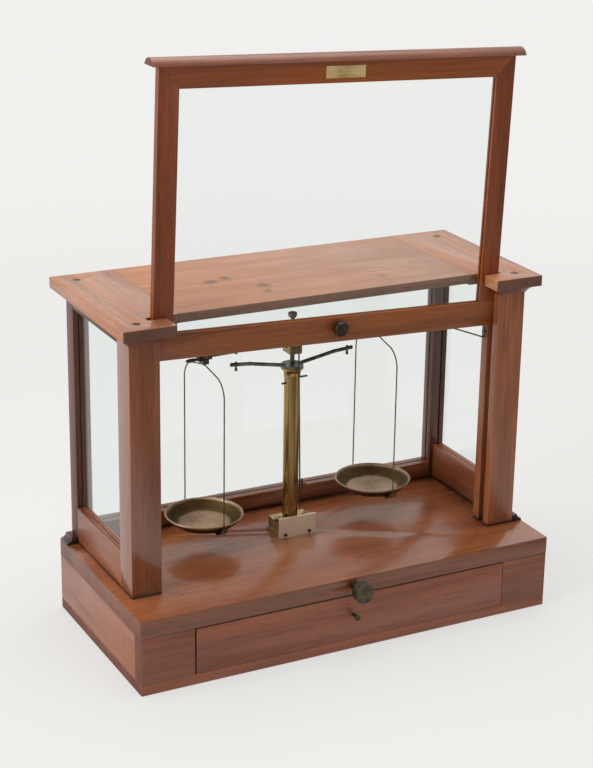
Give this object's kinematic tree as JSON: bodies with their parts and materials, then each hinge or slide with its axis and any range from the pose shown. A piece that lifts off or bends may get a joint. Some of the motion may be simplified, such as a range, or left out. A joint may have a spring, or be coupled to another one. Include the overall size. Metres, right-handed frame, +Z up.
{
  "type": "apothecary balance",
  "caption": "Two-pan beam balance on a column in a glazed mahogany case with a lifting front sash, a release knob and a base drawer.",
  "frame": {"origin": "bottom centre of the base box, on the surface that it stands on", "axes": "+Z up, +X to the right of someone facing the sash, +Y from the sash to the back"},
  "size_m": [0.406, 0.225, 0.5291],
  "materials": {
    "mahogany": "worn satin varnish over reddish-brown mahogany",
    "dark_mahogany": "darkened varnish in mouldings",
    "glass": "clear old glass",
    "old_brass": "tarnished lacquered brass",
    "pale_brass": "pale worn brass",
    "dark_bronze": "dark green-brown patina",
    "steel": "dulled grey steel"
  },
  "bodies": {
    "case": {"base_top_board": "mahogany", "base_sides": "mahogany", "base_back_board": "mahogany", "base_bottom_board": "mahogany", "base_front_blocks": "mahogany", "drawer_guides": "dark_mahogany", "front_left_post": "mahogany", "front_right_post": "mahogany", "back_posts": "mahogany", "post_capitals": "dark_mahogany", "side_cornices": "mahogany", "foot_coves": "dark_mahogany", "bottom_rails": "mahogany", "top_rails": "mahogany", "side_panes": "glass", "back_pane": "glass", "top_centre_panel": "mahogany", "top_end_boards": "mahogany", "top_plugs": "dark_bronze", "stay_eyes": "steel", "balance_foot": "old_brass", "index_plate": "pale_brass", "index_plate_screws": "dark_bronze", "foot_screws": "pale_brass", "column_tube": "old_brass", "column_collar": "old_brass", "column_pins": "steel", "arrest_arms": "steel", "arrest_pads": "steel"},
    "drawer": {"drawer_front": "mahogany", "drawer_sides": "mahogany", "drawer_back": "mahogany", "drawer_bottom": "mahogany", "drawer_pull_pin": "dark_bronze"},
    "sash_pull": {"sash_knob": "dark_bronze"},
    "sash": {"sash_stiles": "mahogany", "sash_top_rail": "mahogany", "sash_bottom_rail": "mahogany", "sash_cap": "dark_mahogany", "sash_pane": "glass", "name_plate": "pale_brass"},
    "stay": {"stay_wire": "steel"},
    "release": {"release_knob": "dark_bronze", "release_shaft": "steel", "release_cam": "steel"},
    "lifter": {"lifting_rod": "steel", "fork_block": "pale_brass", "fork_bearings": "steel"},
    "beam": {"beam_bar": "dark_bronze", "beam_knives": "steel", "pointer": "steel"},
    "left_nut": {"left_poising_nut": "dark_bronze"},
    "right_nut": {"right_poising_nut": "dark_bronze"},
    "bob": {"gravity_bob": "dark_bronze"},
    "left_hook": {"left_stirrup": "steel"},
    "right_hook": {"right_stirrup": "steel"},
    "left_hanger": {"left_bow": "old_brass", "left_pan": "old_brass"},
    "right_hanger": {"right_bow": "old_brass", "right_pan": "old_brass"}
  },
  "joints": [
    {"name": "drawer_slide", "type": "slide", "parent": "case", "child": "drawer", "axis": [0, -1, 0], "range_m": [0, 0.12]},
    {"name": "sash_slide", "type": "slide", "parent": "case", "child": "sash_pull", "axis": [0, 0, 1], "range_m": [-0.202, 0]},
    {"name": "sash_lean", "type": "hinge", "parent": "sash_pull", "child": "sash", "pos_m": [0.006, -0.0387, 0.28465], "axis": [0, 1, 0], "range_deg": [-1.95, 0.01]},
    {"name": "stay_swing", "type": "hinge", "parent": "case", "child": "stay", "pos_m": [0.1632, -0.032, 0.251], "axis": [0, 0, 1], "range_deg": [0, 82]},
    {"name": "release_turn", "type": "hinge", "parent": "case", "child": "release", "pos_m": [-0.001, -0.095, 0.0625], "axis": [0, -1, 0], "range_deg": [-1, 92]},
    {"name": "lift_slide", "type": "slide", "parent": "case", "child": "lifter", "axis": [0, 0, 1], "range_m": [-0.004, 0]},
    {"name": "beam_rock", "type": "hinge", "parent": "lifter", "child": "beam", "pos_m": [-0.0045, 0.024, 0.256], "axis": [0, 1, 0], "range_deg": [-1.6, 4.4]},
    {"name": "left_hook_level", "type": "hinge", "parent": "beam", "child": "left_hook", "pos_m": [-0.09147, 0.024, 0.25387], "axis": [0, 1, 0], "range_deg": [-4.5, 1.7]},
    {"name": "right_hook_level", "type": "hinge", "parent": "beam", "child": "right_hook", "pos_m": [0.08247, 0.024, 0.25813], "axis": [0, 1, 0], "range_deg": [-4.5, 1.7]},
    {"name": "left_pan_swing", "type": "hinge", "parent": "left_hook", "child": "left_hanger", "pos_m": [-0.09147, 0.024, 0.24547], "axis": [1, 0, 0], "range_deg": [-5, 5]},
    {"name": "right_pan_swing", "type": "hinge", "parent": "right_hook", "child": "right_hanger", "pos_m": [0.08247, 0.024, 0.24973], "axis": [1, 0, 0], "range_deg": [-5, 5]},
    {"name": "left_nut_travel", "type": "slide", "parent": "beam", "child": "left_nut", "axis": [0.9997, 0, 0.0244], "range_m": [-0.002, 0.0015]},
    {"name": "right_nut_travel", "type": "slide", "parent": "beam", "child": "right_nut", "axis": [0.9997, 0, 0.0244], "range_m": [-0.0015, 0.002]},
    {"name": "bob_travel", "type": "slide", "parent": "beam", "child": "bob", "axis": [-0.0244, 0, 0.9997], "range_m": [-0.0015, 0.002]}
  ],
  "couplings": [
    {"joint": "sash_lean", "follows": "sash_slide", "rad_per_m": 0.16762},
    {"joint": "release_turn", "follows": "lift_slide", "rad_per_m": -392.7},
    {"joint": "left_hook_level", "follows": "beam_rock", "ratio": -1},
    {"joint": "right_hook_level", "follows": "beam_rock", "ratio": -1}
  ]
}
